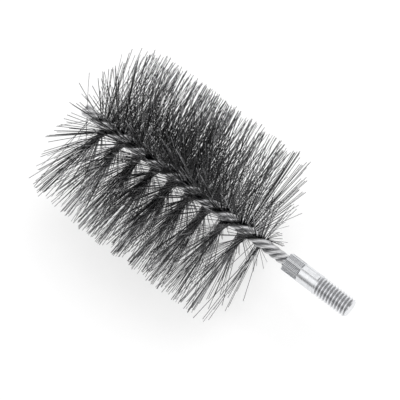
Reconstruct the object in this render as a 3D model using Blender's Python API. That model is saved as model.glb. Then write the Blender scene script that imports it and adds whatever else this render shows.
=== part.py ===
"""A chimney sweep brush: steel bristles held in a twisted wire stem, with a threaded ferrule crimped on its end.

The brush lies along X with the thread towards +X, on the floor at Z = 0, midway between its two ends.
"""

import math
import random

import bmesh
import bpy
from mathutils import Matrix, Vector

# Driving sizes, in metres

CLEARANCE = 0.0003
OVERRUN = 0.002

BRUSH_DIAMETER = 0.1145
FLOOR_FLAT_DEPTH = 0.0005
BRISTLED_LENGTH = 0.1395
BRISTLE_LEAD = 0.0272
BRISTLE_WIDTH = 0.0005
ROW_COUNT = 10
WIRES_PER_ROW = 24

STEM_WIRE_DIAMETER = 0.0025
STEM_TIP_LENGTH = 0.002
STEM_TIP_TURN = math.radians(95)
BARE_STEM_LENGTH = 0.0175
BARE_STEM_LEAD = 0.0185
TWIST_CHANGE_LENGTH = 0.010

CRIMP_LENGTH = 0.0113
SHANK_LENGTH = 0.0115
THREAD_LENGTH = 0.0247
SHANK_DIAMETER = 0.0121
THREAD_DIAMETER = 0.0127
SOCKET_DEPTH = 0.0135

# Sizes worked out from those above

ROW_LENGTH = BRISTLED_LENGTH / ROW_COUNT
BRISTLE_PITCH = ROW_LENGTH / WIRES_PER_ROW
BRUSH_RADIUS = BRUSH_DIAMETER / 2
WIRE_RADIUS = STEM_WIRE_DIAMETER / 2
FERRULE_LENGTH = CRIMP_LENGTH + SHANK_LENGTH + THREAD_LENGTH


# How four round wires lie in a twist

WIRE_SIDES_RESOLUTION = 2
WIRE_POINTS_PER_TURN = 12


def crossing(function, low, high):
    """Where a rising function of a length passes zero, between low and high."""
    for _ in range(50):
        middle = (low + high) / 2
        if function(middle) < 0:
            low = middle
        else:
            high = middle
    return (low + high) / 2


def wire_spacing(radius, apart, lead):
    """Least distance between the centre lines of two wires of one twist that lie `apart` radians round it."""
    least = math.inf
    steps = 100
    for step in range(steps):
        turned = apart * step / steps
        chord = 2 * radius * math.sin((apart - turned) / 2)
        along = lead * turned / math.tau
        least = min(least, math.hypot(chord, along))
    return least


def gap_to_next_wire(radius, apart, lead):
    return wire_spacing(radius, apart, lead) - STEM_WIRE_DIAMETER - CLEARANCE


def height_over_bristles(across):
    """How far a wire's centre stands off the middle of the bristle layer, which slants more further out."""
    slant = math.atan(math.tau * across / BRISTLE_LEAD)
    return (BRISTLE_WIDTH / 2 + CLEARANCE + WIRE_RADIUS) / math.cos(slant)


def gap_in_pair(across):
    height = height_over_bristles(across)
    return gap_to_next_wire(math.hypot(across, height), 2 * math.atan2(across, height), BRISTLE_LEAD)


# Place of a wire's centre in the turning cross-section: (across, height) where the stem holds bristles,
# and the same where it is bare and the four wires close up into a square
GRIP_ACROSS = crossing(gap_in_pair, 0, STEM_WIRE_DIAMETER)
GRIP_HEIGHT = height_over_bristles(GRIP_ACROSS)
BARE_RADIUS = crossing(
    lambda radius: gap_to_next_wire(radius, math.tau / 4, BARE_STEM_LEAD), 0, 2 * STEM_WIRE_DIAMETER
)
BARE_OFFSET = BARE_RADIUS / math.sqrt(2)

GRIP_STEM_RADIUS = math.hypot(GRIP_ACROSS, GRIP_HEIGHT) + WIRE_RADIUS
BARE_STEM_OUTER_RADIUS = BARE_RADIUS + WIRE_RADIUS

# Places along the stem, from the cut ends of its wires at the tip

BRISTLES_START = STEM_TIP_LENGTH
BRISTLES_END = BRISTLES_START + BRISTLED_LENGTH
FERRULE_START = BRISTLES_END + BARE_STEM_LENGTH
THREAD_END = FERRULE_START + FERRULE_LENGTH
STEM_END = FERRULE_START + SOCKET_DEPTH - CLEARANCE - WIRE_RADIUS


def stem_turn(along):
    """Angle of the stem's cross-section. It turns left-handed, and faster past the bristles."""
    grip_rate = math.tau / BRISTLE_LEAD
    bare_rate = math.tau / BARE_STEM_LEAD
    past = max(along - BRISTLES_END, 0)
    changing = min(past, TWIST_CHANGE_LENGTH)
    gained = (bare_rate - grip_rate) * (changing**2 / (2 * TWIST_CHANGE_LENGTH) + past - changing)
    return STEM_TIP_TURN - grip_rate * along - gained


def share_bare(along):
    """0 where the stem holds bristles and 1 where it is bare, changing smoothly between."""
    share = min(max((along - BRISTLES_END) / TWIST_CHANGE_LENGTH, 0), 1)
    return share * share * (3 - 2 * share)


def turned(across, height, angle):
    return (
        across * math.cos(angle) - height * math.sin(angle),
        across * math.sin(angle) + height * math.cos(angle),
    )


# How the bristles stand: all lean a little towards the tip, but the last ones before the bare stem have nothing
# beside them and fan back over it. The twist grips less at both ends, so that wires there have slipped sideways and
# reach less far on one side.

BRISTLE_LEAN = math.radians(4)
FERRULE_FAN = math.radians(6)
FERRULE_FAN_LENGTH = 0.018
TIP_SLIP = 0.010
TIP_SLIP_LENGTH = 0.015
FERRULE_SLIP = 0.008
FERRULE_SLIP_LENGTH = 0.006
LEAN_SCATTER = math.radians(7)
LEAN_STEP = math.radians(2.5)
LENGTH_SCATTER = 0.0004
TIP_SIDE_SCATTER = 0.0015
LOOSENING_LENGTH = 0.012

FREE_BRISTLE_LENGTH = BRUSH_RADIUS - GRIP_STEM_RADIUS
EDGE_PITCH = math.hypot(BRISTLE_PITCH, math.tau * GRIP_STEM_RADIUS * BRISTLE_PITCH / BRISTLE_LEAD)
ROOT_HALF_WIDTH = BRISTLE_WIDTH / 2 * BRISTLE_PITCH / EDGE_PITCH


def steady_lean(before_last):
    """Lean along the stem that a bristle has before any scatter, towards the ferrule where it is positive."""
    fan_share = max(1 - before_last / FERRULE_FAN_LENGTH, 0)
    return FERRULE_FAN * fan_share**2 - BRISTLE_LEAN


def slipped(past_first, before_last):
    tip_share = max(1 - past_first / TIP_SLIP_LENGTH, 0)
    ferrule_share = max(1 - before_last / FERRULE_SLIP_LENGTH, 0)
    return TIP_SLIP * tip_share + FERRULE_SLIP * ferrule_share


def bristle_wires():
    """How far each bristle wire in turn reaches outwards on either side, its lean along the stem and its side swing.
    Neighbours lean nearly alike and so never cross. The first wire, which sets how far the bristles reach past the
    stem's tip, has no scatter."""
    scatter = random.Random(7)
    count = ROW_COUNT * WIRES_PER_ROW
    wander = 0
    wires = []
    for number in range(count):
        past_first = number * BRISTLE_PITCH
        before_last = (count - 1 - number) * BRISTLE_PITCH
        loose = min(past_first / LOOSENING_LENGTH, 1)
        wander += scatter.uniform(-LEAN_STEP, LEAN_STEP)
        wander = max(-LEAN_SCATTER, min(wander, LEAN_SCATTER))
        outwards = FREE_BRISTLE_LENGTH - loose * scatter.uniform(0, LENGTH_SCATTER)
        reaches = {1: outwards - slipped(past_first, before_last), -1: outwards}
        swing = loose * scatter.uniform(-TIP_SIDE_SCATTER, TIP_SIDE_SCATTER) / BRUSH_RADIUS
        wires.append((reaches, math.tan(steady_lean(before_last) + loose * wander), swing))
    return wires


TIP_REACH = FREE_BRISTLE_LENGTH * math.tan(BRISTLE_LEAN) + ROOT_HALF_WIDTH - BRISTLES_START - BRISTLE_PITCH / 2
OVERALL_LENGTH = TIP_REACH + THREAD_END


# Helpers for objects and materials


def clear_scene():
    for obj in list(bpy.data.objects):
        bpy.data.objects.remove(obj, do_unlink=True)


def metal(name, colour, roughness):
    material = bpy.data.materials.new(name)
    material.use_nodes = True
    shader = material.node_tree.nodes["Principled BSDF"]
    shader.inputs["Base Color"].default_value = (*colour, 1)
    shader.inputs["Roughness"].default_value = roughness
    shader.inputs["Metallic"].default_value = 1
    return material


def add_object(name, data, material, parent):
    obj = bpy.data.objects.new(name, data)
    if not data.materials:
        data.materials.append(material)
    obj.parent = parent
    bpy.context.scene.collection.objects.link(obj)
    return obj


def mesh_from(name, bm):
    bmesh.ops.recalc_face_normals(bm, faces=bm.faces)
    mesh = bpy.data.meshes.new(name)
    bm.to_mesh(mesh)
    bm.free()
    return mesh


def smooth(mesh, sharp_angle=math.radians(35)):
    mesh.shade_smooth()
    mesh.set_sharp_from_angle(angle=sharp_angle)


# Stem: four wires twisted left-handed, in two pairs that grip the bristles between them


def stem_wire_curve(name, side):
    """One wire of the upper pair, as a tube along its twisted centre line. `side` is 1 or -1."""
    step = 1 / WIRE_POINTS_PER_TURN
    points = []
    along = 0
    while along < STEM_END:
        points.append(along)
        along += step * (BRISTLE_LEAD + (BARE_STEM_LEAD - BRISTLE_LEAD) * share_bare(along))
    points.append(STEM_END)

    curve = bpy.data.curves.new(name, "CURVE")
    curve.dimensions = "3D"
    curve.bevel_depth = WIRE_RADIUS
    curve.bevel_resolution = WIRE_SIDES_RESOLUTION
    curve.use_fill_caps = True
    spline = curve.splines.new("POLY")
    spline.points.add(len(points) - 1)
    for point, along in zip(spline.points, points):
        share = share_bare(along)
        across = GRIP_ACROSS + (BARE_OFFSET - GRIP_ACROSS) * share
        height = GRIP_HEIGHT + (BARE_OFFSET - GRIP_HEIGHT) * share
        point.co = (along, *turned(side * across, height, stem_turn(along)), 1)
    spline.use_smooth = True
    return curve


def build_stem(parent, material):
    for first, side in enumerate((1, -1), start=1):
        curve = stem_wire_curve("stem_wire", side)
        for half_turns in (0, 1):
            wire = add_object(f"stem_wire_{first + 2 * half_turns}", curve, material, parent)
            wire.rotation_euler.x = math.pi * half_turns


# Bristles: the wires of a row lie side by side as a flat comb, and twist with the stem that grips their middles


def flat_comb(middles):
    """A flat bar as wide as the stem, sliced at both edges of each bristle, and the faces its bristles grow from."""
    edges = [middle + side * ROOT_HALF_WIDTH for middle in middles for side in (-1, 1)]
    bm = bmesh.new()
    bmesh.ops.create_cube(bm, size=1)
    size = Vector((edges[-1] - edges[0], 2 * GRIP_STEM_RADIUS, BRISTLE_WIDTH))
    bmesh.ops.scale(bm, vec=size, verts=bm.verts)
    bmesh.ops.translate(bm, vec=((edges[0] + edges[-1]) / 2, 0, 0), verts=bm.verts)
    for edge in edges[1:-1]:
        slice_mesh(bm, Vector((edge, 0, 0)), Vector((1, 0, 0)))
    roots = []
    for face in bm.faces:
        centre = face.calc_center_median()
        nearest = min(range(len(middles)), key=lambda number: abs(middles[number] - centre.x))
        at_bristle = abs(middles[nearest] - centre.x) < ROOT_HALF_WIDTH
        if at_bristle and abs(face.normal.y) > abs(face.normal.z):
            roots.append((face, nearest, math.copysign(1, centre.y)))
    return bm, roots


def slice_mesh(bm, point, normal, clear_outer=False):
    everything = bm.verts[:] + bm.edges[:] + bm.faces[:]
    return bmesh.ops.bisect_plane(
        bm, geom=everything, plane_co=point, plane_no=normal, clear_outer=clear_outer
    )


def bristle_row_mesh(name, row_start, wires):
    middles = [(number + 1 / 2) * BRISTLE_PITCH for number in range(len(wires))]
    bm, roots = flat_comb(middles)
    bar = list(bm.verts)
    tips = bmesh.ops.extrude_discrete_faces(bm, faces=[face for face, _, _ in roots])["faces"]
    for tip, (_, number, side) in zip(tips, roots):
        reaches, slope, swing = wires[number]
        outwards = reaches[side]
        angle = stem_turn(row_start + middles[number]) + swing
        for vert in tip.verts:
            across, height = turned(vert.co.y + side * outwards, vert.co.z, angle)
            vert.co = (vert.co.x + slope * outwards, across, height)
    for vert in bar:
        across, height = turned(vert.co.y, vert.co.z, stem_turn(row_start + vert.co.x))
        vert.co = (vert.co.x, across, height)
    cut_flat_on_floor(bm)
    return mesh_from(name, bm)


def cut_flat_on_floor(bm):
    """Cuts the lowest bristle tips off level, where the brush rests on them."""
    floor = Vector((0, 0, FLOOR_FLAT_DEPTH - BRUSH_RADIUS))
    cut = slice_mesh(bm, floor, Vector((0, 0, -1)), clear_outer=True)["geom_cut"]
    edges = [part for part in cut if isinstance(part, bmesh.types.BMEdge)]
    bmesh.ops.holes_fill(bm, edges=edges)


def build_bristles(parent, material):
    wires = bristle_wires()
    for row in range(ROW_COUNT):
        name = f"bristle_row_{row + 1:02d}"
        row_start = BRISTLES_START + row * ROW_LENGTH
        row_wires = wires[row * WIRES_PER_ROW : (row + 1) * WIRES_PER_ROW]
        obj = add_object(name, bristle_row_mesh(name, row_start, row_wires), material, parent)
        obj.location.x = row_start


# Ferrule: turned bar with a blind socket, crimped onto the stem by eight pads, and a male thread's plain form

ROUND_STEPS = 48
MOUTH_CHAMFER = 0.0006
THREAD_START_CHAMFER = 0.0003
THREAD_END_CHAMFER = 0.0012
SOCKET_CONE_LENGTH = 0.0015
CRIMP_PADS = 8
CRIMP_TURN = math.radians(29)
PAD_DEPTH = 0.0011
PAD_RUN_OUT = 0.0007
FIN_WIDTH = 0.0006


def ferrule_outline():
    """Half the ferrule's lengthwise section, from the socket's bottom round to the thread's end."""
    bore = BARE_STEM_OUTER_RADIUS + CLEARANCE
    shank = SHANK_DIAMETER / 2
    thread = THREAD_DIAMETER / 2
    thread_start = CRIMP_LENGTH + SHANK_LENGTH
    return [
        (SOCKET_DEPTH + SOCKET_CONE_LENGTH, 0),
        (SOCKET_DEPTH, bore),
        (0, bore),
        (0, shank - MOUTH_CHAMFER),
        (MOUTH_CHAMFER, shank),
        (thread_start, shank),
        (thread_start + THREAD_START_CHAMFER, thread),
        (FERRULE_LENGTH - THREAD_END_CHAMFER, thread),
        (FERRULE_LENGTH, thread - THREAD_END_CHAMFER),
        (FERRULE_LENGTH, 0),
    ]


def turned_ferrule_mesh():
    bm = bmesh.new()
    outline = [bm.verts.new((along, 0, radius)) for along, radius in ferrule_outline()]
    edges = [bm.edges.new(pair) for pair in zip(outline, outline[1:])]
    bmesh.ops.spin(
        bm,
        geom=outline + edges,
        cent=(0, 0, 0),
        axis=(1, 0, 0),
        angle=math.tau,
        steps=ROUND_STEPS,
        use_merge=True,
    )
    bmesh.ops.remove_doubles(bm, verts=bm.verts, dist=CLEARANCE / 100)
    mesh = mesh_from("ferrule", bm)
    smooth(mesh)
    return mesh


def crimp_cutter_mesh():
    """Eight wedges that press a flat pad each into the ferrule, and leave a fin between neighbours."""
    pad_height = SHANK_DIAMETER / 2 - PAD_DEPTH
    fin_to_fin = 2 * pad_height * math.tan(math.pi / CRIMP_PADS)
    pad_width = fin_to_fin - FIN_WIDTH
    top = SHANK_DIAMETER / 2 + OVERRUN
    slope = PAD_RUN_OUT / PAD_DEPTH
    outline = [
        (-OVERRUN, pad_height),
        (CRIMP_LENGTH - PAD_RUN_OUT, pad_height),
        (CRIMP_LENGTH + OVERRUN * slope, top),
        (-OVERRUN, top),
    ]
    bm = bmesh.new()
    for pad in range(CRIMP_PADS):
        side = bm.faces.new([bm.verts.new((along, -pad_width / 2, height)) for along, height in outline])
        other = bmesh.ops.extrude_face_region(bm, geom=[side])["geom"]
        moved = [part for part in other if isinstance(part, bmesh.types.BMVert)]
        bmesh.ops.translate(bm, vec=(0, pad_width, 0), verts=moved)
        turn = Matrix.Rotation(CRIMP_TURN + math.tau * pad / CRIMP_PADS, 3, "X")
        bmesh.ops.rotate(bm, cent=(0, 0, 0), matrix=turn, verts=list(side.verts) + moved)
    return mesh_from("crimp_cutter", bm)


def build_ferrule(parent, material):
    ferrule = add_object("ferrule", turned_ferrule_mesh(), material, parent)
    ferrule.location.x = FERRULE_START
    cutter = add_object("crimp_cutter", crimp_cutter_mesh(), material, ferrule)
    cutter.hide_render = True
    cutter.display_type = "WIRE"
    pads = ferrule.modifiers.new("crimp_pads", "BOOLEAN")
    pads.operation = "DIFFERENCE"
    pads.object = cutter


# The brush


def main():
    clear_scene()
    brush = bpy.data.objects.new("brush", None)
    bpy.context.scene.collection.objects.link(brush)
    brush.location = (TIP_REACH - OVERALL_LENGTH / 2, 0, BRUSH_RADIUS - FLOOR_FLAT_DEPTH)

    build_stem(brush, metal("stem_steel", (0.42, 0.42, 0.43), 0.4))
    build_bristles(brush, metal("bristle_steel", (0.16, 0.16, 0.165), 0.45))
    build_ferrule(brush, metal("ferrule_zinc", (0.78, 0.79, 0.81), 0.3))


main()
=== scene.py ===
import math
import random

import bmesh
import bpy
from mathutils import Matrix, Vector


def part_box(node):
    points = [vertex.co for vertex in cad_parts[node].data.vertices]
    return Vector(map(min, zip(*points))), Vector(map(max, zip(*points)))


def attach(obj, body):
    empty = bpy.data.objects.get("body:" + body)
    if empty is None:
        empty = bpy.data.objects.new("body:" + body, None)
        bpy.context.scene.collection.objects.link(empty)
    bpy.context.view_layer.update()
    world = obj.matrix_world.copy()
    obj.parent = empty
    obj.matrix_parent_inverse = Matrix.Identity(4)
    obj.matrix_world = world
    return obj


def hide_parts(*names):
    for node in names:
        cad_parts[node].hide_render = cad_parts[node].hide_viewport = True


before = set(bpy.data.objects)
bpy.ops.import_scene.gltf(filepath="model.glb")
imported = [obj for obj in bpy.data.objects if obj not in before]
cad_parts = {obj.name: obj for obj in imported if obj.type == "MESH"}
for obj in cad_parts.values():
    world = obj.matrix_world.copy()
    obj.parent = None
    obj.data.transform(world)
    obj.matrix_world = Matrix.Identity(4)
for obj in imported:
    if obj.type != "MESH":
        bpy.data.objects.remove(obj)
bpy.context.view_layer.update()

# Stem: four drawn steel wires, laid in two pairs with the bristles between them, and twisted left-handed in
# a lathe until they grip. Past the bristles the pairs close up and the twist tightens, and the bare stem goes
# down into the ferrule's socket.

WIRE_DIAMETER = 0.0028
WIRE_ACROSS = 0.00155
WIRE_HEIGHT = 0.0019
BARE_WIRE_OFFSET = 0.00165
STEM_LEAD = 0.0272
BARE_STEM_LEAD = 0.0185
STEM_TIP_TURN = math.radians(95)
STEM_TIP_LENGTH = 0.002
BRISTLED_LENGTH = 0.1395
BARE_STEM_LENGTH = 0.0175
TWIST_CHANGE_LENGTH = 0.010
LENGTH_IN_SOCKET = 0.012
WIRE_SIDES = 16
RINGS_PER_LEAD = 40
CUT_END_BEVEL = 0.0003

STEEL_GREYS = ((0.52, 0.52, 0.53, 1), (0.72, 0.72, 0.73, 1))
STEEL_ROUGHNESS = (0.26, 0.40)
STEEL_PATCH_SCALE = 260
STEEL_SMEAR_SCALE = 700
STEEL_GRAIN_SCALE = 2500
STEEL_GRAIN_DEPTH = 0.00003
NOISE_RANGE = (0.3, 0.7)

ferrule_low, ferrule_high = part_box("ferrule")
AXIS_HEIGHT = (ferrule_low.z + ferrule_high.z) / 2
STEM_TIP = ferrule_low.x - BARE_STEM_LENGTH - BRISTLED_LENGTH - STEM_TIP_LENGTH
BRISTLES_END = STEM_TIP_LENGTH + BRISTLED_LENGTH
STEM_LENGTH = BRISTLES_END + BARE_STEM_LENGTH + LENGTH_IN_SOCKET


def stem_turn(along):
    """Angle of the twist, a length past the stem's cut tip."""
    rate = math.tau / STEM_LEAD
    bare_rate = math.tau / BARE_STEM_LEAD
    past = max(along - BRISTLES_END, 0)
    changing = min(past, TWIST_CHANGE_LENGTH)
    gained = (bare_rate - rate) * (changing**2 / (2 * TWIST_CHANGE_LENGTH) + past - changing)
    return STEM_TIP_TURN - rate * along - gained


def closing_up(along):
    """How far the pairs have closed up: 0 among the bristles and 1 on the bare stem."""
    share = min(max((along - BRISTLES_END) / TWIST_CHANGE_LENGTH, 0), 1)
    return share * share * (3 - 2 * share)


def around_axis(along, across, height, angle):
    """A point of the turned cross-section, placed in the brush."""
    return Vector((
        STEM_TIP + along,
        across * math.cos(angle) - height * math.sin(angle),
        AXIS_HEIGHT + across * math.sin(angle) + height * math.cos(angle),
    ))


def piece(name, mesh, materials):
    for material in materials:
        mesh.materials.append(material)
    obj = bpy.data.objects.new(name, mesh)
    bpy.context.scene.collection.objects.link(obj)
    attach(obj, "root")
    return obj


def mesh_of(name, bm):
    mesh = bpy.data.meshes.new(name)
    bm.to_mesh(mesh)
    bm.free()
    return mesh


def metal(name):
    material = bpy.data.materials.new(name)
    material.use_nodes = True
    shader = material.node_tree.nodes["Principled BSDF"]
    shader.inputs["Metallic"].default_value = 1
    return material, material.node_tree.nodes, shader


def feed(socket, value):
    """Gives an input another node's output, or a plain value."""
    if isinstance(value, bpy.types.NodeSocket):
        socket.id_data.links.new(value, socket)
    else:
        socket.default_value = value


def mottle(nodes, scale, stretch=(1, 1, 1), detail=3):
    """Noise over the object's own coordinates, with its pattern stretched along the axes."""
    place = nodes.new("ShaderNodeTexCoord")
    mapping = nodes.new("ShaderNodeMapping")
    noise = nodes.new("ShaderNodeTexNoise")
    feed(mapping.inputs["Vector"], place.outputs["Object"])
    feed(mapping.inputs["Scale"], stretch)
    feed(noise.inputs["Vector"], mapping.outputs["Vector"])
    feed(noise.inputs["Scale"], scale)
    feed(noise.inputs["Detail"], detail)
    return noise.outputs["Fac"]


def remapped(nodes, value, source, target=(0, 1)):
    """A value carried from one range to another and held within it."""
    remap = nodes.new("ShaderNodeMapRange")
    feed(remap.inputs["Value"], value)
    for name, limit in zip(("From Min", "From Max", "To Min", "To Max"), (*source, *target)):
        feed(remap.inputs[name], limit)
    return remap.outputs["Result"]


def spread(nodes, noise, target=(0, 1)):
    """Noise with its middle values spread over a range."""
    return remapped(nodes, noise, NOISE_RANGE, target)


def tinted(nodes, share, first, second):
    """A colour between two others."""
    mix = nodes.new("ShaderNodeMix")
    mix.data_type = "RGBA"
    feed(mix.inputs["Factor"], share)
    feed(mix.inputs["A"], first)
    feed(mix.inputs["B"], second)
    return mix.outputs["Result"]


def bumped(nodes, value, depth):
    bump = nodes.new("ShaderNodeBump")
    feed(bump.inputs["Strength"], 1)
    feed(bump.inputs["Distance"], depth)
    feed(bump.inputs["Height"], value)
    return bump.outputs["Normal"]


stem_steel, nodes, shader = metal("drawn_stem_steel")
patches = spread(nodes, mottle(nodes, STEEL_PATCH_SCALE))
feed(shader.inputs["Base Color"], tinted(nodes, patches, *STEEL_GREYS))
feed(shader.inputs["Roughness"], spread(nodes, mottle(nodes, STEEL_SMEAR_SCALE), STEEL_ROUGHNESS))
feed(shader.inputs["Normal"], bumped(nodes, mottle(nodes, STEEL_GRAIN_SCALE), STEEL_GRAIN_DEPTH))


def drawn_wire(across_sign, height_sign):
    """One wire, made straight, then laid in the twist with its section kept round across its slant."""
    bm = bmesh.new()
    lie_along = Matrix.Rotation(math.pi / 2, 4, "Y")
    middle = Matrix.Translation((STEM_LENGTH / 2, 0, 0))
    bmesh.ops.create_cone(
        bm,
        cap_ends=True,
        segments=WIRE_SIDES,
        radius1=WIRE_DIAMETER / 2,
        radius2=WIRE_DIAMETER / 2,
        depth=STEM_LENGTH,
        matrix=middle @ lie_along,
    )
    lengthwise = [edge for edge in bm.edges if abs(edge.verts[0].co.x - edge.verts[1].co.x) > WIRE_DIAMETER]
    rings = round(STEM_LENGTH / STEM_LEAD * RINGS_PER_LEAD)
    bmesh.ops.subdivide_edges(bm, edges=lengthwise, cuts=rings, use_grid_fill=True)
    for face in bm.faces:
        face.smooth = True
    cut_end = [edge for edge in bm.edges if all(vert.co.x < CUT_END_BEVEL for vert in edge.verts)]
    bmesh.ops.bevel(
        bm,
        geom=cut_end,
        offset=CUT_END_BEVEL,
        offset_type="OFFSET",
        segments=2,
        profile=0.5,
        affect="EDGES",
        material=-1,
        clamp_overlap=True,
    )
    for vert in bm.verts:
        along, side, up = vert.co
        closed = closing_up(along)
        across = across_sign * (WIRE_ACROSS + (BARE_WIRE_OFFSET - WIRE_ACROSS) * closed)
        height = height_sign * (WIRE_HEIGHT + (BARE_WIRE_OFFSET - WIRE_HEIGHT) * closed)
        lead = STEM_LEAD + (BARE_STEM_LEAD - STEM_LEAD) * closed
        radius = math.hypot(across, height)
        slant_stretch = math.hypot(1, math.tau * radius / lead)
        outwards = (side * across + up * height) / radius
        sideways = (up * across - side * height) / radius * slant_stretch
        across_here = across + (outwards * across - sideways * height) / radius
        height_here = height + (outwards * height + sideways * across) / radius
        vert.co = around_axis(along, across_here, height_here, stem_turn(along))
    return bm


for number, (across_sign, height_sign) in enumerate(((1, 1), (-1, 1), (-1, -1), (1, -1)), start=1):
    name = f"drawn_wire_{number}"
    wire = piece(name, mesh_of(name, drawn_wire(across_sign, height_sign)), [stem_steel])
    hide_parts(f"stem_wire_{number}")

# Bristles: fine hard-drawn spring steel wires, each gripped at its middle between the stem's pairs, so that
# both its ends stand out. They fill the twist as one layer, splay where the layer ends and are trimmed round.
# Each table of pairs gives places past the stem's cut tip, in metres, and the value there.

BRISTLE_DIAMETER = 0.00035
BRISTLE_SIDES = 6
BRISTLE_LENGTHS = 4
BRISTLE_ROWS = 10
MILLIMETRE = 0.001
WIRES_PER_MM_ALONG = (
    (0.002, 0.6), (0.0115, 0.6), (0.0135, 4.5), (0.022, 8.5), (0.045, 9.5), (0.073, 13.5), (0.100, 9.8),
    (0.110, 7.8), (0.131, 7), (0.135, 4.5), (0.1415, 4.5),
)
SPACING_VARIATION = (0.5, 1.5)
LAYER_HALF_THICKNESS = 0.0006

# Leans are in degrees towards the ferrule, for the wires seen above the stem and for those seen below it.
LEAN_ABOVE_ALONG = (
    (0.002, 4), (0.009, 1), (0.014, -3), (0.022, -8), (0.045, -7), (0.110, -7), (0.128, -1), (0.1415, -2),
)
LEAN_BELOW_ALONG = (
    (0.002, 3), (0.011, 1), (0.014, -4), (0.022, -9), (0.032, -7), (0.045, -2), (0.128, -1), (0.133, -4),
    (0.137, -9), (0.1415, -1),
)
ABOVE_TURN = math.radians(21)
SCATTER_ABOVE = math.radians(2.9)
SCATTER_BELOW = math.radians(4.6)
SIDE_SCATTER = math.radians(3.6)
TUFT_SCATTER = math.radians(1.3)
TUFT_MEMORY = 0.9
TUFT_CHANGE = 0.44
STEADY_END_LENGTH = 0.022
LAST_WIRES_LENGTH = 0.0035
LAST_WIRES_SPLAY = math.radians(5)
LAST_WIRES_LOOSENESS = math.radians(6)
LOOSE_END_LENGTH = 0.006
LOOSE_END_SIDE_SCATTER = math.radians(5)

# How much shorter wires stand near the stem's ends, for one side of the layer and for the other.
SHORTER_ALONG = (
    ((0.002, 0.018), (0.007, 0.015), (0.011, 0), (0.132, 0), (0.136, 0.012), (0.1415, 0.028)),
    ((0.012, 0), (0.014, 0.011), (0.021, 0), (0.1345, 0), (0.1415, -0.0024)),
)
BRUSH_RADIUS = 0.0587
TRIM_OFF_CENTRE = 0.0016
TRIM_OFFSET_TURN = math.radians(201)
TRIM_SCATTER = 0.0022
SHORT_SHARE_ALONG = ((0.131, 0.16), (0.136, 0.6))
SHORTEST_SHARE = 0.45
BEND_AT_TIP = 0.0006
FLOOR_GAP = 0.00005

SPLAYED_WIRES = 9
SPLAYED_START = 0.0030
SPLAYED_TURN = math.radians(30)
SPLAYED_TURN_SCATTER = math.radians(14)
SPLAYED_LEANS = (math.radians(12), math.radians(78))
SPLAYED_LENGTHS = (0.0075, 0.0125)
SPLAYED_BEND = 0.002

BRISTLE_GREYS = ((0.035, 0.035, 0.037, 1), (0.50, 0.50, 0.51, 1))
BRISTLE_ROUGHNESS = (0.20, 0.34)
BRISTLE_SMEAR_SCALE = 900
DARK_WIRES_POWER = 2.8
RANDOM_SEED = 5

ROW_LENGTH = BRISTLED_LENGTH / BRISTLE_ROWS
rng = random.Random(RANDOM_SEED)

bristle_steel, nodes, shader = metal("spring_steel_bristle")
tone = nodes.new("ShaderNodeAttribute")
tone.attribute_name = "wire_tone"
feed(shader.inputs["Base Color"], tinted(nodes, tone.outputs["Fac"], *BRISTLE_GREYS))
feed(shader.inputs["Roughness"], spread(nodes, mottle(nodes, BRISTLE_SMEAR_SCALE), BRISTLE_ROUGHNESS))


def straight_bristle():
    """One bristle of unit length along X, split lengthwise so that it can bend."""
    bm = bmesh.new()
    bmesh.ops.create_cone(
        bm,
        cap_ends=True,
        segments=BRISTLE_SIDES,
        radius1=BRISTLE_DIAMETER / 2,
        radius2=BRISTLE_DIAMETER / 2,
        depth=1,
        matrix=Matrix.Translation((0.5, 0, 0)) @ Matrix.Rotation(math.pi / 2, 4, "Y"),
    )
    lengthwise = [edge for edge in bm.edges if abs(edge.verts[0].co.x - edge.verts[1].co.x) > 0.5]
    bmesh.ops.subdivide_edges(bm, edges=lengthwise, cuts=BRISTLE_LENGTHS - 1, use_grid_fill=True)
    for face in bm.faces:
        face.smooth = len(face.verts) == 4
    return mesh_of("straight_bristle", bm)


def read_off(table, along):
    """The value at a place along the stem, between those that the table gives."""
    if along < table[0][0]:
        return table[0][1]
    for (start, low), (end, high) in zip(table, table[1:]):
        if along < end:
            return low + (high - low) * (along - start) / (end - start)
    return table[-1][1]


def stray(along, side, angle, tuft):
    """How a wire leans along the stem, on average and at random, and how far it strays round it."""
    from_end = min(along - STEM_TIP_LENGTH, BRISTLES_END - along)
    steady = min(from_end / STEADY_END_LENGTH, 1)
    last = max(1 - (BRISTLES_END - along) / LAST_WIRES_LENGTH, 0) * (1 - side)
    above = (1 + math.cos(angle - ABOVE_TURN)) / 2
    degrees = above * read_off(LEAN_ABOVE_ALONG, along) + (1 - above) * read_off(LEAN_BELOW_ALONG, along)
    mean = math.radians(degrees) + LAST_WIRES_SPLAY * last + steady * tuft
    loose = above * SCATTER_ABOVE + (1 - above) * SCATTER_BELOW + LAST_WIRES_LOOSENESS * last
    sideways = SIDE_SCATTER + LOOSE_END_SIDE_SCATTER * max(1 - from_end / LOOSE_END_LENGTH, 0)
    return mean, loose, sideways


def leaning(lean, angle):
    """The direction of a wire that stands out at an angle round the stem and leans along it."""
    return Vector((math.sin(lean), math.cos(lean) * math.cos(angle), math.cos(lean) * math.sin(angle)))


def trimmed_radius(along, side, angle):
    """Radius of the trim, which is a little off centre. Near both ends wires have slipped and stand short."""
    radius = BRUSH_RADIUS + TRIM_OFF_CENTRE * math.cos(angle - TRIM_OFFSET_TURN)
    return radius - read_off(SHORTER_ALONG[side], along)


def slight_bend(direction):
    """How far a wire's end is bent aside, square to the wire."""
    bend = Vector((rng.gauss(0, BEND_AT_TIP), rng.gauss(0, BEND_AT_TIP), rng.gauss(0, BEND_AT_TIP)))
    return bend - bend.dot(direction) * direction


def kept_off_floor(root, direction, length, bend):
    """The wire's length, cut back where its end would go through the table."""
    lowest = FLOOR_GAP + BRISTLE_DIAMETER / 2
    tip_height = root.z + direction.z * length + bend.z
    if tip_height < lowest:
        length -= (lowest - tip_height) / abs(direction.z)
    return length


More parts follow.
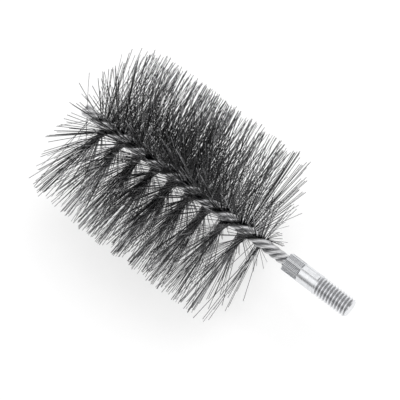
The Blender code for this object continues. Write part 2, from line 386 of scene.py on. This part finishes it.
def add_bristle(bm, tones, root, direction, length, bend):
    """Copies the straight bristle into place, with a shade of its own."""
    start = len(bm.verts)
    bm.from_mesh(bristle_blank)
    bm.verts.ensure_lookup_table()
    tone = rng.random() ** DARK_WIRES_POWER
    turn = direction.to_track_quat("X", "Z").to_matrix().to_4x4()
    for index in range(start, len(bm.verts)):
        vert = bm.verts[index]
        share = vert.co.x
        local = Vector((share * length, vert.co.y, vert.co.z))
        vert.co = root + turn @ local + bend * share**2
        vert[tones] = tone


def add_splayed_wires(bm, tones):
    """The few short wires that fan out beside the last node, over the bare stem."""
    low, high = SPLAYED_LEANS
    for number in range(SPLAYED_WIRES):
        angle = rng.gauss(SPLAYED_TURN, SPLAYED_TURN_SCATTER)
        lean = low + (high - low) * (number + rng.random()) / SPLAYED_WIRES
        root = around_axis(BRISTLES_END, SPLAYED_START, 0, angle)
        length = rng.uniform(*SPLAYED_LENGTHS)
        add_bristle(bm, tones, root, leaning(lean, angle), length, Vector((SPLAYED_BEND, 0, 0)))


bristle_blank = straight_bristle()
tuft_lean = [0, 0]
along = STEM_TIP_LENGTH
for row in range(BRISTLE_ROWS):
    bm = bmesh.new()
    tones = bm.verts.layers.float.new("wire_tone")
    row_end = STEM_TIP_LENGTH + ROW_LENGTH * (row + 1)
    while along < row_end:
        layer_height = rng.uniform(-LAYER_HALF_THICKNESS, LAYER_HALF_THICKNESS)
        for side in (0, 1):
            tuft_lean[side] = TUFT_MEMORY * tuft_lean[side] + rng.gauss(0, TUFT_SCATTER * TUFT_CHANGE)
            angle = stem_turn(along) + math.pi * side
            mean, loose, sideways = stray(along, side, angle, tuft_lean[side])
            lean = mean + rng.gauss(0, loose)
            out_angle = angle + rng.gauss(0, sideways)
            root = around_axis(along, 0, layer_height, angle)
            direction = leaning(lean, out_angle)
            length = trimmed_radius(along, side, out_angle) - abs(rng.gauss(0, TRIM_SCATTER))
            if rng.random() < read_off(SHORT_SHARE_ALONG, along):
                length *= rng.uniform(SHORTEST_SHARE, 1)
            bend = slight_bend(direction)
            length = kept_off_floor(root, direction, length, bend)
            add_bristle(bm, tones, root, direction, length, bend)
        along += MILLIMETRE / read_off(WIRES_PER_MM_ALONG, along) * rng.uniform(*SPACING_VARIATION)
    if row == BRISTLE_ROWS - 1:
        add_splayed_wires(bm, tones)
    name = f"spring_bristles_{row + 1:02d}"
    bristles = piece(name, mesh_of(name, bm), [bristle_steel])
    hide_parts(f"bristle_row_{row + 1:02d}")

# Ferrule: free-cutting steel turned from bar with a blind socket, threaded with a die and zinc plated. It is
# crimped onto the stem by an eight-jawed press, whose toothed jaws leave ribbed pads with fins between them.

CRIMP_LENGTH = 0.0113
SHANK_LENGTH = 0.0115
SHANK_RADIUS = 0.00605
SOCKET_RADIUS = 0.0038
SOCKET_DEPTH = 0.0135
SOCKET_CONE = 0.0015
MOUTH_CHAMFER = 0.0004
EDGE_BREAK = 0.00015
ROUND_STEPS = 96
MERGE_DISTANCE = 0.00001

THREAD_RADIUS = 0.00635
THREAD_PITCH = 0.0254 / 12
THREAD_START_CHAMFER = 0.0005
THREAD_END_CHAMFER = 0.0013
FLANK_ANGLE = math.radians(27.5)
ROUNDING_PER_PITCH = 0.1373
DEPTH_PER_PITCH = 0.6403
GROOVE_STEPS = 64
GROOVE_RUN_OUT = math.radians(150)
GROOVE_OVERRUN = 0.00005

CRIMP_PADS = 8
CRIMP_TURN = math.radians(29)
PAD_RADIUS = 0.00490
PAD_WIDTH = 0.00345
PAD_RIBS = 4
RIB_DEPTH = 0.0002
PAD_RUN_OUT = 0.0008
CUTTER_OVERRUN = 0.001
RUN_OUT_FLATNESS = 0.01
SHARP_ANGLE = math.radians(32)

ZINC_GREYS = ((0.70, 0.71, 0.73, 1), (0.82, 0.83, 0.85, 1))
ZINC_ROUGHNESS = (0.16, 0.30)
ZINC_CLOUD_SCALE = 420
ZINC_SMEAR_SCALE = 1800
TURNING_RING_SCALE = 2600
TURNING_GRAIN_SCALE = 5200
TURNING_GRAIN_DEPTH = 0.000006
TURNING_STRETCH = (1, 0.02, 0.02)
TURNING_DETAIL = 4

PAD_GREYS = ((0.72, 0.73, 0.75, 1), (0.88, 0.89, 0.91, 1))
# The dark grey is painted shade in the grooves between the pads' ribs.
PAD_GROOVE_PAINTED_SHADE = (0.16, 0.16, 0.165, 1)
PAD_GROOVE_PAINTED_SHADE_EDGES = (0.2, 0.42)
PAD_ROUGHNESS = (0.34, 0.52)
PAD_CLOUD_SCALE = 900
PAD_GRAIN_SCALE = 4200
PAD_GRAIN_STRETCH = (0.3, 1, 1)
PAD_GRAIN_DEPTH = 0.00003

# Painted shade on the thread: the darker grey at the root radius, the lighter one at the crest radius.
THREAD_PAINTED_SHADE_GREYS = ((0.40, 0.40, 0.41, 1), (0.90, 0.91, 0.93, 1))
THREAD_PAINTED_SHADE_RADII = (0.0051, 0.0062)
FLANK_ROUGHNESS = (0.26, 0.42)

FERRULE_LENGTH = ferrule_high.x - ferrule_low.x
THREAD_START = CRIMP_LENGTH + SHANK_LENGTH
to_ferrule = Matrix.Translation((ferrule_low.x, 0, AXIS_HEIGHT))


def turning_marks(nodes, scale):
    """Fine rings round the ferrule's axis, as a lathe tool leaves them."""
    return mottle(nodes, scale, TURNING_STRETCH, TURNING_DETAIL)


def worked_out(nodes, operation, first, second=0):
    """One step of arithmetic on one or two values."""
    node = nodes.new("ShaderNodeMath")
    node.operation = operation
    feed(node.inputs[0], first)
    feed(node.inputs[1], second)
    return node.outputs["Value"]


def off_axis(nodes):
    """The object's own coordinates, measured from the ferrule's axis."""
    place = nodes.new("ShaderNodeTexCoord")
    moved = nodes.new("ShaderNodeVectorMath")
    moved.operation = "SUBTRACT"
    feed(moved.inputs[0], place.outputs["Object"])
    feed(moved.inputs[1], (0, 0, AXIS_HEIGHT))
    return moved.outputs["Vector"]


def radius_from_axis(nodes):
    across_axis = nodes.new("ShaderNodeVectorMath")
    across_axis.operation = "MULTIPLY"
    feed(across_axis.inputs[0], off_axis(nodes))
    feed(across_axis.inputs[1], (0, 1, 1))
    radius = nodes.new("ShaderNodeVectorMath")
    radius.operation = "LENGTH"
    feed(radius.inputs[0], across_axis.outputs["Vector"])
    return radius.outputs["Value"]


def painted_pad_groove_shade(nodes):
    """Painted shade for the pads: 1 in the grooves that the jaws' teeth press and 0 on the ribs between them.
    """
    pad_angle = math.tau / CRIMP_PADS
    parts = nodes.new("ShaderNodeSeparateXYZ")
    feed(parts.inputs["Vector"], off_axis(nodes))
    near = worked_out(nodes, "MULTIPLY", parts.outputs["Y"], -1)
    from_top = worked_out(nodes, "ARCTAN2", near, parts.outputs["Z"])
    from_first_pad = worked_out(nodes, "SUBTRACT", from_top, CRIMP_TURN)
    pads_round = worked_out(nodes, "DIVIDE", from_first_pad, pad_angle)
    share_of_pad = worked_out(nodes, "FRACT", worked_out(nodes, "ADD", pads_round, CRIMP_PADS + 0.5))
    pad_turn = worked_out(nodes, "MULTIPLY", worked_out(nodes, "SUBTRACT", share_of_pad, 0.5), pad_angle)
    ribs_per_slope = PAD_RADIUS / PAD_WIDTH * PAD_RIBS
    ribs_across = worked_out(nodes, "MULTIPLY", worked_out(nodes, "TANGENT", pad_turn), ribs_per_slope)
    from_crest = worked_out(nodes, "PINGPONG", ribs_across, 0.5)
    return remapped(nodes, from_crest, PAD_GROOVE_PAINTED_SHADE_EDGES)


zinc, nodes, shader = metal("bright_zinc_plate")
clouds = spread(nodes, mottle(nodes, ZINC_CLOUD_SCALE))
feed(shader.inputs["Base Color"], tinted(nodes, clouds, *ZINC_GREYS))
feed(shader.inputs["Roughness"], spread(nodes, turning_marks(nodes, TURNING_RING_SCALE), ZINC_ROUGHNESS))
feed(shader.inputs["Normal"], bumped(nodes, turning_marks(nodes, TURNING_GRAIN_SCALE), TURNING_GRAIN_DEPTH))

pressed_zinc, nodes, shader = metal("pressed_zinc_pad_painted_groove_shade")
clouds = spread(nodes, mottle(nodes, PAD_CLOUD_SCALE))
pad_grey = tinted(nodes, clouds, *PAD_GREYS)
pad_grain = mottle(nodes, PAD_GRAIN_SCALE, PAD_GRAIN_STRETCH)
# The grooves between the pads' ribs are painted dark as shade, over the zinc's own grey.
feed(shader.inputs["Base Color"], tinted(nodes, painted_pad_groove_shade(nodes), pad_grey, PAD_GROOVE_PAINTED_SHADE))
feed(shader.inputs["Roughness"], spread(nodes, mottle(nodes, ZINC_SMEAR_SCALE), PAD_ROUGHNESS))
feed(shader.inputs["Normal"], bumped(nodes, pad_grain, PAD_GRAIN_DEPTH))

cut_zinc, nodes, shader = metal("cut_thread_zinc_painted_root_shade")
# The thread is painted darker towards its roots, as shade, and lighter towards its crests.
painted_root_shade_fade = remapped(nodes, radius_from_axis(nodes), THREAD_PAINTED_SHADE_RADII)
feed(shader.inputs["Base Color"], tinted(nodes, painted_root_shade_fade, *THREAD_PAINTED_SHADE_GREYS))
feed(shader.inputs["Roughness"], spread(nodes, mottle(nodes, ZINC_SMEAR_SCALE), FLANK_ROUGHNESS))


def turned_blank():
    """The ferrule as it leaves the lathe. Its outline runs from the socket's bottom round to the end face."""
    outline = [
        (SOCKET_DEPTH + SOCKET_CONE, 0),
        (SOCKET_DEPTH, SOCKET_RADIUS),
        (MOUTH_CHAMFER, SOCKET_RADIUS),
        (0, SOCKET_RADIUS + MOUTH_CHAMFER),
        (0, SHANK_RADIUS - MOUTH_CHAMFER),
        (MOUTH_CHAMFER, SHANK_RADIUS),
        (THREAD_START - EDGE_BREAK, SHANK_RADIUS),
        (THREAD_START, SHANK_RADIUS),
        (THREAD_START + THREAD_START_CHAMFER, THREAD_RADIUS),
        (FERRULE_LENGTH - THREAD_END_CHAMFER, THREAD_RADIUS),
        (FERRULE_LENGTH - EDGE_BREAK, THREAD_RADIUS - THREAD_END_CHAMFER + EDGE_BREAK),
        (FERRULE_LENGTH, THREAD_RADIUS - THREAD_END_CHAMFER),
        (FERRULE_LENGTH, 0),
    ]
    bm = bmesh.new()
    verts = [bm.verts.new((along, 0, radius)) for along, radius in outline]
    edges = [bm.edges.new(pair) for pair in zip(verts, verts[1:])]
    bmesh.ops.spin(
        bm,
        geom=verts + edges,
        cent=(0, 0, 0),
        axis=(1, 0, 0),
        angle=math.tau,
        steps=ROUND_STEPS,
        use_merge=True,
    )
    bmesh.ops.remove_doubles(bm, verts=bm.verts, dist=MERGE_DISTANCE)
    return bm


def thread_groove():
    """The groove a die cuts: rounded root, straight flanks and rounded crests, wound right-handed."""
    rounding = ROUNDING_PER_PITCH * THREAD_PITCH
    arc_end = math.pi / 2 - FLANK_ANGLE
    depth = DEPTH_PER_PITCH * THREAD_PITCH
    half = [(rounding * math.sin(turn), rounding * (1 - math.cos(turn))) for turn in (arc_end / 2, arc_end)]
    crest = [(THREAD_PITCH / 2 - along, depth - height) for along, height in reversed(half)]
    side = half + crest + [(THREAD_PITCH / 2 - GROOVE_OVERRUN / 2, depth + GROOVE_OVERRUN)]
    outline = [(0, 0)] + side + [(-along, height) for along, height in reversed(side)]
    root_radius = THREAD_RADIUS - depth
    start = THREAD_START + THREAD_PITCH
    bm = bmesh.new()
    rim = [bm.verts.new((start + along, 0, root_radius + height)) for along, height in outline]
    face = bm.faces.new(rim)
    turns = (FERRULE_LENGTH + THREAD_PITCH - start) / THREAD_PITCH
    per_step = THREAD_PITCH / GROOVE_STEPS
    run_out_steps = round(GROOVE_RUN_OUT / math.tau * GROOVE_STEPS)
    climb = (depth + GROOVE_OVERRUN) / run_out_steps
    for steps, sign, rise in ((round(turns * GROOVE_STEPS), 1, 0), (run_out_steps, -1, climb)):
        bmesh.ops.spin(
            bm,
            geom=[face, *face.edges, *face.verts],
            cent=(0, 0, 0),
            axis=(1, 0, 0),
            dvec=(sign * per_step, 0, rise),
            angle=sign * math.tau * steps / GROOVE_STEPS,
            steps=steps,
            use_merge=False,
        )
    return bm


def jaw_faces():
    """Eight toothed jaws, each a ribbed bar that slopes out of the metal at its inner end."""
    bm = bmesh.new()
    top = SHANK_RADIUS + CUTTER_OVERRUN
    rib = PAD_WIDTH / PAD_RIBS
    teeth = [
        (PAD_WIDTH / 2 - rib * number / 2, PAD_RADIUS - RIB_DEPTH * (number % 2))
        for number in range(2 * PAD_RIBS + 1)
    ]
    outline = [(-PAD_WIDTH / 2, top), (PAD_WIDTH / 2, top)] + teeth
    slope = (top - PAD_RADIUS) / (SHANK_RADIUS - PAD_RADIUS) * PAD_RUN_OUT
    for pad in range(CRIMP_PADS):
        rim = [bm.verts.new((-CUTTER_OVERRUN, across, height)) for across, height in outline]
        face = bm.faces.new(rim)
        turn = Matrix.Rotation(CRIMP_TURN + math.tau * pad / CRIMP_PADS, 3, "X")
        verts = list(rim)
        for step in (CRIMP_LENGTH - PAD_RUN_OUT + CUTTER_OVERRUN, slope):
            grown = bmesh.ops.extrude_face_region(bm, geom=[face, *face.edges, *face.verts])["geom"]
            face = next(part for part in grown if isinstance(part, bmesh.types.BMFace))
            bmesh.ops.translate(bm, vec=(step, 0, 0), verts=face.verts)
            verts += face.verts
        for vert in face.verts:
            vert.co.z = top + (vert.co.z - top) * RUN_OUT_FLATNESS
        bmesh.ops.rotate(bm, cent=(0, 0, 0), matrix=turn, verts=verts)
    return bm


def machined(name, blank, cuts, materials):
    """The blank's mesh with the cuts taken out, each cut surface in the material that its number gives."""
    scene = bpy.context.scene
    meshes = []
    for part_name, bm, material_number in [(name, blank, 0)] + cuts:
        bmesh.ops.transform(bm, matrix=to_ferrule, verts=bm.verts)
        bmesh.ops.recalc_face_normals(bm, faces=bm.faces)
        for face in bm.faces:
            face.material_index = material_number
        mesh = mesh_of(part_name, bm)
        for material in materials:
            mesh.materials.append(material)
        meshes.append(mesh)
    work = bpy.data.objects.new(name, meshes[0])
    scene.collection.objects.link(work)
    tools = []
    for mesh in meshes[1:]:
        tool = bpy.data.objects.new(mesh.name, mesh)
        scene.collection.objects.link(tool)
        cut = work.modifiers.new(mesh.name, "BOOLEAN")
        cut.operation = "DIFFERENCE"
        cut.object = tool
        tools.append(tool)
    depsgraph = bpy.context.evaluated_depsgraph_get()
    finished = bpy.data.meshes.new_from_object(work.evaluated_get(depsgraph))
    for obj in [work] + tools:
        bpy.data.objects.remove(obj, do_unlink=True)
    finished.shade_smooth()
    finished.set_sharp_from_angle(angle=SHARP_ANGLE)
    return finished


name = "threaded_ferrule"
cuts = [("thread_groove", thread_groove(), 2), ("jaw_faces", jaw_faces(), 1)]
ferrule = piece(name, machined(name, turned_blank(), cuts, [zinc, pressed_zinc, cut_zinc]), [])
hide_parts("ferrule")

# Floor: a flat white studio table, matt and as pale as the photo's. It glows to the camera and in the metal,
# so that the background stays white, and it still takes the brush's soft shadow.

TABLE_HALF_WIDTH = 3
TABLE_GREY = (0.36, 0.36, 0.36, 1)
TABLE_GLOW_COLOUR = (1, 1, 1, 1)
TABLE_GLOW = 0.62

table_white = bpy.data.materials.new("table_white")
table_white.use_nodes = True
nodes = table_white.node_tree.nodes
shader = nodes["Principled BSDF"]
seen = nodes.new("ShaderNodeLightPath")
either = worked_out(nodes, "MAXIMUM", seen.outputs["Is Camera Ray"], seen.outputs["Is Glossy Ray"])
feed(shader.inputs["Base Color"], TABLE_GREY)
feed(shader.inputs["Roughness"], 1)
feed(shader.inputs["Specular IOR Level"], 0)
feed(shader.inputs["Emission Color"], TABLE_GLOW_COLOUR)
feed(shader.inputs["Emission Strength"], worked_out(nodes, "MULTIPLY", either, TABLE_GLOW))

bm = bmesh.new()
bmesh.ops.create_grid(bm, x_segments=1, y_segments=1, size=TABLE_HALF_WIDTH)
mesh = mesh_of("table", bm)
mesh.materials.append(table_white)
table = bpy.data.objects.new("table", mesh)
bpy.context.scene.collection.objects.link(table)

# Light: a white tent of brighter and dimmer panels, brightest just in front of overhead, with a large soft
# lamp behind the brush and a small one above it. The bright metal shows the panels as bands along its length.

# Degrees over the brush from the horizon behind it to the one in front, and the tent's level there.
TENT_PANELS = (
    (0, 0.95), (10, 0.8), (24, 0.3), (56, 0.3), (76, 0.62), (86, 0.7), (98, 1.4), (130, 1.4), (158, 0.4),
    (179, 0.4),
)
TENT_STRENGTH = 0.9

world = bpy.data.worlds.new("light_tent")
bpy.context.scene.world = world
world.use_nodes = True
nodes = world.node_tree.nodes
looking = nodes.new("ShaderNodeTexCoord")
parts = nodes.new("ShaderNodeSeparateXYZ")
feed(parts.inputs["Vector"], looking.outputs["Generated"])
over_brush = worked_out(nodes, "ARCTAN2", parts.outputs["Z"], parts.outputs["Y"])
panels = nodes.new("ShaderNodeValToRGB")
elements = panels.color_ramp.elements
while len(elements) < len(TENT_PANELS):
    elements.new(0.5)
for element, (degrees, level) in zip(elements, TENT_PANELS):
    element.position = degrees / 180
    element.color = (level, level, level, 1)
feed(panels.inputs["Fac"], worked_out(nodes, "DIVIDE", over_brush, math.pi))
feed(nodes["Background"].inputs["Color"], panels.outputs["Color"])
feed(nodes["Background"].inputs["Strength"], TENT_STRENGTH)


def soft_lamp(name, place, size, power):
    data = bpy.data.lights.new(name, "AREA")
    data.shape = "SQUARE"
    data.size = size
    data.energy = power
    lamp = bpy.data.objects.new(name, data)
    lamp.location = place
    towards_brush = Vector((0, 0, AXIS_HEIGHT)) - Vector(place)
    lamp.rotation_euler = towards_brush.to_track_quat("-Z", "Y").to_euler()
    bpy.context.scene.collection.objects.link(lamp)
    return lamp


soft_lamp("key_lamp", place=(0.1, 1.0, 1.0), size=1.6, power=6.4)
overhead = soft_lamp("overhead_lamp", place=(0, 0.2, 0.9), size=0.5, power=4)
overhead.visible_glossy = False

# Camera: the photo's view, down on the brush from the ferrule's side. Its place and its focus were fitted to
# the ends of the stem and of the ferrule in the photo.

CAMERA_TURN = math.radians(40.2)
CAMERA_HEIGHT_ANGLE = math.radians(63.0)
CAMERA_DISTANCE = 1.2
CAMERA_FOCUS_PX = 2011
PHOTO_WIDTH_PX = 400
SENSOR_WIDTH_MM = 36
LOOK_AT_ALONG = 0.09394
LOOK_AT_SIDE = -0.00206

look_at = Vector((STEM_TIP + LOOK_AT_ALONG, LOOK_AT_SIDE, AXIS_HEIGHT))
towards = Vector((
    math.cos(CAMERA_HEIGHT_ANGLE) * math.sin(CAMERA_TURN),
    -math.cos(CAMERA_HEIGHT_ANGLE) * math.cos(CAMERA_TURN),
    math.sin(CAMERA_HEIGHT_ANGLE),
))
data = bpy.data.cameras.new("camera")
data.sensor_width = SENSOR_WIDTH_MM
data.sensor_fit = "HORIZONTAL"
data.lens = SENSOR_WIDTH_MM * CAMERA_FOCUS_PX / PHOTO_WIDTH_PX
camera = bpy.data.objects.new("camera", data)
camera.location = look_at + CAMERA_DISTANCE * towards
camera.rotation_euler = (-towards).to_track_quat("-Z", "Y").to_euler()
bpy.context.scene.collection.objects.link(camera)
bpy.context.scene.camera = camera

bpy.context.scene.view_settings.view_transform = "Standard"
